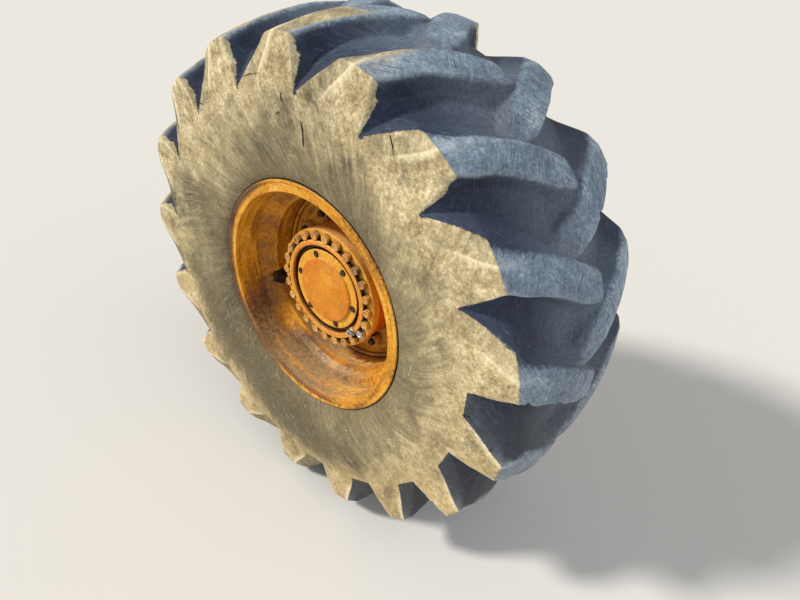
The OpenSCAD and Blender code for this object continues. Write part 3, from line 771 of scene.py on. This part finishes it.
def sidewall_rows(shape):
    """The outline from the notches down to the bead, as (distance from the middle, radius)."""
    upper = [(shape.wall_u(r), r) for r in np.linspace(shape.notch - 4, shape.wide + 6, 6)]
    bead_u = shape.rim / 2 - 0.3
    lower = []
    for s in np.radians([0, 12, 24, 36, 46, 54, 60, 65, 70, 76, 83]):
        lower.append((bead_u + (shape.half - bead_u) * math.cos(s),
                      shape.wide - (shape.wide - shape.flange - 2) * math.sin(s)))
    bead = [(bead_u, shape.flange + 2), (bead_u, shape.flange - 10), (bead_u, shape.seat + 6),
            (shape.rim / 2 - 6, shape.seat + 0.3)]
    return upper + lower + bead


def liner_rows(shape):
    """The inside of the casing, from the outer bead's toe over the crown to the inner bead's toe."""
    top = shape.crown - shape.depth - CASING_T
    toe = [(shape.rim / 2 - 40, shape.seat + 0.3), (shape.rim / 2 - 26, shape.seat + 60)]
    arc = [((shape.half - 22) * math.sin(s), shape.wide + (top - shape.wide) * math.cos(s))
           for s in np.radians([90, 66, 44, 22])]
    half_way = toe + arc
    return half_way + [(0, top)] + [(-u, r) for u, r in reversed(half_way)]


def tyre_mesh(sizes):
    """Points, faces and masks of the whole tyre as one closed skin."""
    shape = TyreShape(sizes)
    rows, lay = [], []
    masks = {"height": [], "side": [], "edge": [], "tooth": []}
    per_row = sum(len(part) for part in (FLANK, FACET, TOP, FLANK, VOID)) * 2
    pitches = np.arange(shape.count) * shape.pitch

    def angles_at(w):
        one = shape.columns(w) + shape.start
        return (one[None, :] + pitches[:, None]).ravel()

    def add_row(u, r, angles, along, **row_masks):
        rows.append(on_wheel(r * MM, MID_Y - u * MM, angles))
        lay.append(np.stack([angles * MM * shape.shoulder * math.pi / 180,
                             np.broadcast_to(along * MM, angles.shape)], -1))
        for name, values in masks.items():
            values.append(np.broadcast_to(row_masks.get(name, 0.0), angles.shape))

    def add_wall(sign, u, r, angles):
        add_row(sign * u, r, angles, sign * (shape.end + shape.notch - r), height=1.0, side=1.0,
                tooth=0.8 * soft_step(r, *DUSTY_WALL))

    near_edge_angles = angles_at(shape.end)
    far_edge_angles = angles_at(-shape.end)
    walls = sidewall_rows(shape)
    for u, r in reversed(walls):
        add_wall(1, u, r, near_edge_angles)
    for w in crown_rows(shape):
        angles = angles_at(w)
        v = np.full_like(angles, w)
        near, near_edge, near_reach, near_past = shape.lug_height(v, angles, 0)
        far, far_edge, far_reach, far_past = shape.lug_height(-v, angles, 1)
        # narrow grooves between a nose and the next lug are packed and rubbed half shut
        packed = 0.6 * (1 - soft_step(near_reach + far_reach, *PACKED))
        height = np.clip((near ** 7 + far ** 7 + packed ** 7) ** (1 / 7), 0, 1)
        top, floor = shape.profile(v, shape.top), shape.profile(v, shape.floor)
        worn = 1.4 * np.sin(angles / 3.1 + w / 47) + 0.8 * np.sin(angles * 1.7 - w / 23)
        top = top + np.stack([np.zeros_like(worn), np.minimum(worn, 0) * (abs(w) < shape.tip)], -1)
        point = floor + (top - floor) * height[:, None]
        foot = soft_step(np.abs(v), shape.tip - 6, shape.tip + 6)
        ledge = shape.facet_height(abs(w))
        full = soft_step(height, 0.7 * ledge, 0.96 * ledge)
        edge = np.where(near > far, near_edge, far_edge) * full
        past = near_past + far_past
        # past the crease the tan thins, a painted shade on the trailing facets
        tooth = (0.8 - 0.45 * past) * foot * soft_step(shape.shoulder - (abs(w) - shape.tip), *DUSTY_WALL)
        # the facets of the lugs at the lower right get painted shade: no tan, and the void floors' dark navy
        clean = past * soft_step(np.cos(np.radians(angles - 126)), 0.643, 0.766)
        add_row(point[:, 0] * np.sign(w), point[:, 1], angles, w, height=height * (1 - 0.35 * clean),
                side=foot * full * (1 - clean), edge=edge, tooth=tooth)
    for u, r in walls:
        add_wall(-1, u, r, far_edge_angles)
    blend = np.linspace(0, 1, len(liner_rows(shape)))
    for share, (u, r) in zip(blend, reversed(liner_rows(shape))):
        add_row(u, r, far_edge_angles + (near_edge_angles - far_edge_angles) * share, 0.0, height=0.6)
    columns = per_row * shape.count
    faces = torus_faces(len(rows), columns)
    # where the last column meets the first, the corners' places run on past a full turn
    corners = np.concatenate(lay)[faces]
    turn = 2 * math.pi * MM * shape.shoulder
    corners[columns - 1::columns, 1:3, 0] += turn
    return np.concatenate(rows), faces, {k: np.concatenate(v) for k, v in masks.items()}, corners


def rough_up(points, masks):
    """Small dents and swells of worn rubber, in metres along the radius."""
    moved = []
    for (x, y, z), height in zip(points, masks["height"]):
        spot = Vector((x, y, z))
        swell = noise.noise(spot * per_mm(70)) * 0.9 + noise.noise(spot * per_mm(24)) * 0.6 - 0.9
        r = math.hypot(x, z)
        k = 1 + swell * MM * (0.3 + 0.7 * height) / r
        moved.append((x * k, y, z * k))
    return moved


class WHEEL_OT_tyre(bpy.types.Operator):
    """Builds the worn lugged tyre"""
    bl_idname = "wheel.tyre"
    bl_label = "Tyre"

    def execute(self, context):
        points, faces, masks, corners = tyre_mesh(context.scene.wheel_tyre)
        worn = rough_up(points, masks)
        rubber = new_material("weathered_tyre_rubber", dusty_rubber)
        tyre = new_piece("tyre", worn, faces, rubber, "tyre_rubber", replaces=("tyre_casing", "tyre_tread"))
        # dust and painted sunlight lie on the crests near the top of the wheel that face up and out to the
        # left
        normals = np.empty(len(worn) * 3, np.float32)
        tyre.data.vertex_normals.foreach_get("vector", normals)
        facing = normals.reshape(-1, 3) @ np.array([-0.64, -0.3, 0.7])
        spot = np.array(worn) @ np.array([-0.87, 0, 0.96])
        near = 1 - soft_step(np.array(worn)[:, 1], MID_Y - 0.17, MID_Y - 0.03)
        masks["dust_and_sunlight"] = soft_step(facing, 0.38, 0.66) * soft_step(spot, 0.34, 0.62) * near \
            * soft_step(masks["height"], 0.6, 0.9)
        for name, values in masks.items():
            layer = tyre.data.attributes.new(name, "FLOAT", "POINT")
            layer.data.foreach_set("value", values.astype(np.float32))
        lay = tyre.data.uv_layers.new(name="lay")
        lay.data.foreach_set("uv", corners.astype(np.float32).ravel())
        return {"FINISHED"}


# Cuts in the sidewall: radius and angle of one end and of the other, and half the width, all in mm
# and degrees.
CUTS = ((541, 3.0, 478, 4.9, 3.2), (591, -4.0, 568, -3.9, 2.6), (611, 91.1, 589, 91.3, 2.6),
        (660, 99.8, 685, 96.0, 0.9), (545, -5.9, 532, -5.3, 1.6), (536, -6.9, 541, -4.6, 0.9),
        (622, -18.7, 628, -1.0, 0.45), (655, 27.0, 602, 33.5, 0.4), (560, 150, 521, 156, 1.4),
        (548, 236, 575, 240, 1.1), (505, 290, 534, 287, 1.8), (630, 318, 600, 322, 0.8))


class WHEEL_OT_cuts(bpy.types.Operator):
    """Makes the cuts and cracks in the sidewall, as black slivers of rubber and painted shade"""
    bl_idname = "wheel.cuts"
    bl_label = "Sidewall cuts"

    def execute(self, context):
        shape = TyreShape(context.scene.wheel_tyre)
        wall = [(r, u) for u, r in reversed(sidewall_rows(shape))]
        outline = np.array(wall + [(shape.shoulder, shape.tip)])
        slivers = []
        for number, (r1, a1, r2, a2, half) in enumerate(CUTS):
            rings = []
            for share in np.linspace(0.02, 0.98, 13):
                r, angle = r1 + (r2 - r1) * share, a1 + (a2 - a1) * share
                across = half * math.sin(math.pi * share) ** 0.6 * (1 + 0.35 * math.sin(9 * share + number))
                shift = 0.8 * half * math.sin(5.3 * share + 2.1 * number)
                u = float(np.interp(r, outline[:, 0], outline[:, 1]))
                step = math.degrees(1 / r)
                lean = abs(r2 - r1) > math.radians(abs(a2 - a1)) * r
                side = [(r, angle + (shift + k * across) * step) if lean else (r + shift + k * across, angle)
                        for k in (-1, 0, 1)]
                lift = [0.5, 0.9, 0.5]
                rings.append([on_wheel(p * MM, MID_Y - (u + h) * MM, q) for (p, q), h in zip(side, lift)]
                             + [on_wheel(side[1][0] * MM, MID_Y - (u - 3) * MM, side[1][1])])
            slivers.append(stack(rings))
        points, faces = join(slivers)
        rubber = new_material("cut_black_rubber_and_shade", cut_inside_and_shade)
        new_piece("sidewall_cuts", points, faces, rubber, "tyre_rubber")
        return {"FINISHED"}


class WHEEL_OT_rim(bpy.types.Operator):
    """Paints the rim's barrel and disc and lays the weld between them"""
    bl_idname = "wheel.rim"
    bl_label = "Rim"

    def execute(self, context):
        sizes = context.scene.wheel_hub
        enamel = new_material(
            "yellow_rim_enamel", worn_enamel, finish_colours().paint_rim, "#edb54e", "#935b14",
            rust_share=0.0, streaky=0.8, rust_side=(-0.42, 0, -0.91), lip_side=(-0.99, 0, -0.09))
        dress("rim_barrel", enamel)
        dress("rim_disc", enamel)
        # a stick weld's ripples run round the corner of barrel and disc
        steps, sides = 1080, 10
        bead = []
        for k in range(sides):
            s = 2 * math.pi * k / sides
            angles = np.arange(steps) * 360 / steps
            ripple = 0.55 * np.abs(np.sin(angles * math.pi / 2.0)) + 0.5 * np.sin(angles / 7.3)
            radius = 0.62 * sizes.weld_leg + ripple * MM
            bead.append(on_wheel(sizes.well_r - sizes.weld_leg / 2 + radius * math.cos(s),
                                 DISC_FACE_Y - sizes.weld_leg / 2 + radius * math.sin(s), angles))
        new_piece("disc_weld", np.concatenate(bead), torus_faces(sides, steps), enamel, "yellow_paint")
        return {"FINISHED"}


class WHEEL_OT_hub(bpy.types.Operator):
    """Paints the hub, the planet housing and the cover, and packs grease round the cover"""
    bl_idname = "wheel.hub"
    bl_label = "Hub"

    def execute(self, context):
        paint = finish_colours().paint_hub
        orange = new_material("orange_hub_enamel", worn_enamel, paint, "#e07d22", "#8f470f",
                              rust_share=0.02, streaky=0.3, grime=0.75)
        dress("hub", orange)
        # boss, ring round it, raised ring of the housing and the flange under the bolts
        # the bright yellow of the ring round the boss and of the flange is painted light over the ochre paint
        zones = ((0, "#dd9a1c"), (60, "#d8921e"), (98, "#cf841f"), (104, "#f2c03c"), (132, "#f0ba3e"),
                 (138, "#e29338"), (150, "#e89d3e"), (154, "#f4c24c"))
        ochre = new_material("ochre_housing_enamel", worn_enamel, paint, "#eeaf45", "#a3601b",
                             rust_share=0.02, streaky=0.3, zones=zones, grime=0.55)
        for node in ("planet_housing", "hub_cover"):
            dress(node, ochre)
        # the grease: first angle and arc in degrees, radius and greatest thickness in mm
        first, arc, middle_r, thickest, sides = -78, 122, 134, 5.2, 12
        rings = []
        for share in np.linspace(0, 1, 90):
            angle = first + arc * share
            thick = thickest * math.sin(math.pi * share) ** 0.5
            rings.append([])
            for k in range(sides):
                s = 2 * math.pi * k / sides
                lump = 1 + 0.45 * noise.noise(Vector((angle / 5, k / 2.5, 3.7))) \
                    + 0.3 * noise.noise(Vector((angle / 1.7, k / 1.5, 8.1)))
                rings[-1].append(on_wheel((middle_r + 1.2 * thick * lump * math.cos(s)) * MM,
                                          COVER_SEAT_Y - (2 + thick * lump * math.sin(s)) * MM, angle))
        points, faces = stack(rings)
        new_piece("cover_grease", points, faces, new_material("old_black_grease", old_grease), "seal_rubber")
        return {"FINISHED"}


def threads(radius, start, end, pitch=2 * MM):
    """Rings of a thread between two heights."""
    rings = []
    for i in range(int((end - start) / pitch)):
        z = start + i * pitch
        rings += [ring(radius, z), ring(radius - 0.35 * pitch, z + pitch / 2)]
    return rings


def bolt_head(shank_r, washer):
    """A bolt's head, set 1 mm into its seat. washer is its radius in shank radii."""
    return hex_head(3 * shank_r, 1.5 * shank_r, washer * shank_r, 0.3 * shank_r, 1 * MM)


def spaced(start, number):
    """Angles of evenly spaced fasteners."""
    return [start + i * 360 / number for i in range(number)]


class WHEEL_OT_fasteners(bpy.types.Operator):
    """Makes the bolts, nuts and studs, and dresses the drain plug"""
    bl_idname = "wheel.fasteners"
    bl_label = "Fasteners"

    def execute(self, context):
        s = context.scene.wheel_hub
        painted = new_material(
            "painted_bolt_enamel", worn_enamel, finish_colours().paint_rim, "#e8bb58", "#6e4a16",
            rust_share=0.05, streaky=0.1, face="#b08e74", rounding=0.8)
        dark = new_material("oiled_black_steel", dirty_steel, "#4b4038", "#2a1c14", 0.7, 0.6)
        bright = new_material("zinc_plated_steel", dirty_steel, finish_colours().steel, "#7d6a52", 1.0, 0.1)
        # each head was tightened to a turn of its own
        heads, bare = [], []
        head = bolt_head(s.house_r, 1.55)
        for i, angle in enumerate(spaced(s.house_start, s.house_n)):
            spot = placed(head, s.house_at, HOUSE_FACE_Y, angle, (i * 137.5) % 60)
            (bare if i == s.bare_bolt else heads).append(spot)
        head = bolt_head(s.cover_r, 1.6)
        covers = [placed(head, s.cover_at, COVER_BOLT_Y, angle, 41 * i)
                  for i, angle in enumerate(spaced(s.cover_start, s.cover_n))]
        r = s.stud_r
        back, front = DISC_FACE_Y - STUD_HIGH.y, DISC_FACE_Y - STUD_LOW.y
        collar = [ring(1.55 * r, back), ring(1.6 * r, back + MM), ring(1.6 * r, back + 8 * MM),
                  ring(1.55 * r, back + 9 * MM)]
        shank = [ring(r, back + 9 * MM), ring(r, front - 14 * MM)]
        tip = [ring(r - 1.2 * MM, front - 0.4 * MM), ring(r - 2 * MM, front)]
        stud = stack(collar + shank + threads(r, front - 13 * MM, front - MM) + tip)
        nut = hex_head(3 * r, 18 * MM, 1.95 * r, 4 * MM, 0)
        angles = spaced(s.stud_start, s.stud_n)
        studs = [placed(stud, s.stud_at, DISC_FACE_Y, angle) for angle in angles]
        nuts = [placed(nut, s.stud_at, DISC_FACE_Y, angle, 29 * i) for i, angle in enumerate(angles)]
        for name, parts, material, slot, replaces, creases in (
                ("housing_bolt_heads", heads, painted, "painted_bolts", ("housing_bolts",), 24),
                ("housing_bolt_bare", bare, bright, "plug_steel", (), 24),
                ("cover_bolt_heads", covers, dark, "dirty_steel", ("cover_bolts",), 24),
                ("threaded_studs", studs, dark, "dirty_steel", ("wheel_studs",), 40),
                ("hex_nuts", nuts, painted, "painted_bolts", ("wheel_nuts",), 24)):
            new_piece(name, *join(parts), material, slot, replaces=replaces, creases=creases)
        dress("drain_plug", bright)
        return {"FINISHED"}


class WHEEL_OT_axle_end(bpy.types.Operator):
    """Dresses the spindle, the seal and the valve"""
    bl_idname = "wheel.axle_end"
    bl_label = "Axle end"

    def execute(self, context):
        dress("spindle", new_material("oily_cast_steel", oily_casting))
        rubber = new_material("moulded_seal_rubber", black_rubber)
        dress("hub_seal", rubber)
        dress("valve_stem", rubber)
        return {"FINISHED"}


# Studio

CAMERA_AT = (1.1174, -1.3242, 1.0314)
CAMERA_AZIMUTH, CAMERA_PITCH, CAMERA_ROLL = 38.18, 34.38, 5.30
CAMERA_LENS = 27.92


def aim(azimuth, pitch, roll):
    """Turn of a camera or lamp that looks at the wheel from this azimuth and height, in degrees."""
    a, e, tilt = (math.radians(x) for x in (azimuth, pitch, roll))
    back = Vector((math.sin(a) * math.cos(e), -math.cos(a) * math.cos(e), math.sin(e)))
    right = Vector((math.cos(a), math.sin(a), 0))
    up = back.cross(right)
    tilted = right * math.cos(tilt) + up * math.sin(tilt)
    return Matrix((tilted, back.cross(tilted), back)).transposed().to_euler()


class WHEEL_OT_stage(bpy.types.Operator):
    """Sets up the floor, the soft lamps and the camera"""
    bl_idname = "wheel.stage"
    bl_label = "Stage"

    def execute(self, context):
        scene = context.scene
        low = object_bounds()[0]
        size = 40.0
        mesh = bpy.data.meshes.new("floor")
        corners = [(-size, -size), (size, -size), (size, size), (-size, size)]
        mesh.from_pydata([(x, y, low.z) for x, y in corners], [], [(0, 1, 2, 3)])
        mesh.materials.append(new_material("matt_floor_paint", matt_floor))
        floor = bpy.data.objects.new("floor", mesh)
        scene.collection.objects.link(floor)
        floor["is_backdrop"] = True
        for name, azimuth, height, strength, softness, shade in (
                ("key_lamp", -42, 40, 3.1, 8, "#fffaf2"), ("fill_lamp", 80, 40, 0.9, 70, "#eaf1ff")):
            lamp = bpy.data.lights.new(name, "SUN")
            lamp.energy = strength
            lamp.color = linear(shade)
            lamp.angle = math.radians(softness)
            holder = bpy.data.objects.new(name, lamp)
            holder.rotation_euler = aim(azimuth, height, 0)
            scene.collection.objects.link(holder)
        world = bpy.data.worlds.new("studio")
        world.use_nodes = True
        world.node_tree.nodes.clear()
        add = partial(add_node, world.node_tree)
        seen = add("MAXIMUM", add("LightPath", out="Is Camera Ray"), add("LightPath", out="Is Glossy Ray"))
        # the studio shows brighter, behind the wheel and in its sheen, than it lights
        level = add("MapRange", seen, 0, 1, 0.42, 0.72)
        add("OutputWorld", add("Background", "#f2f1ee", level))
        scene.world = world
        camera = bpy.data.cameras.new("camera")
        camera.lens, camera.sensor_width = CAMERA_LENS, 36.0
        camera.clip_start, camera.clip_end = 0.05, 200
        holder = bpy.data.objects.new("camera", camera)
        holder.location = CAMERA_AT
        holder.rotation_euler = aim(CAMERA_AZIMUTH, CAMERA_PITCH, CAMERA_ROLL)
        scene.collection.objects.link(holder)
        scene.camera = holder
        scene.view_settings.view_transform = "Standard"
        return {"FINISHED"}


OPERATORS = (WHEEL_OT_tyre, WHEEL_OT_cuts, WHEEL_OT_rim, WHEEL_OT_hub, WHEEL_OT_fasteners, WHEEL_OT_axle_end,
             WHEEL_OT_stage)


class WHEEL_PT_panel(bpy.types.Panel):
    """Lists the wheel's pieces"""
    bl_idname = "WHEEL_PT_panel"
    bl_label = "Wheel"
    bl_space_type = "VIEW_3D"
    bl_region_type = "UI"
    bl_category = "Wheel"

    def draw(self, context):
        for operator in OPERATORS:
            self.layout.operator(operator.bl_idname)


CLASSES = (TyreSizes, HubSizes, FinishColours, *OPERATORS, WHEEL_PT_panel)


def register():
    for item in CLASSES:
        bpy.utils.register_class(item)
    bpy.types.Scene.wheel_tyre = PointerProperty(type=TyreSizes)
    bpy.types.Scene.wheel_hub = PointerProperty(type=HubSizes)
    bpy.types.Scene.wheel_colours = PointerProperty(type=FinishColours)


def unregister():
    del bpy.types.Scene.wheel_colours
    del bpy.types.Scene.wheel_hub
    del bpy.types.Scene.wheel_tyre
    for item in reversed(CLASSES):
        bpy.utils.unregister_class(item)


def main():
    register()
    bpy.ops.wheel.tyre()
    bpy.ops.wheel.cuts()
    bpy.ops.wheel.rim()
    bpy.ops.wheel.hub()
    bpy.ops.wheel.fasteners()
    bpy.ops.wheel.axle_end()
    bpy.ops.wheel.stage()


if __name__ == "__main__":
    main()
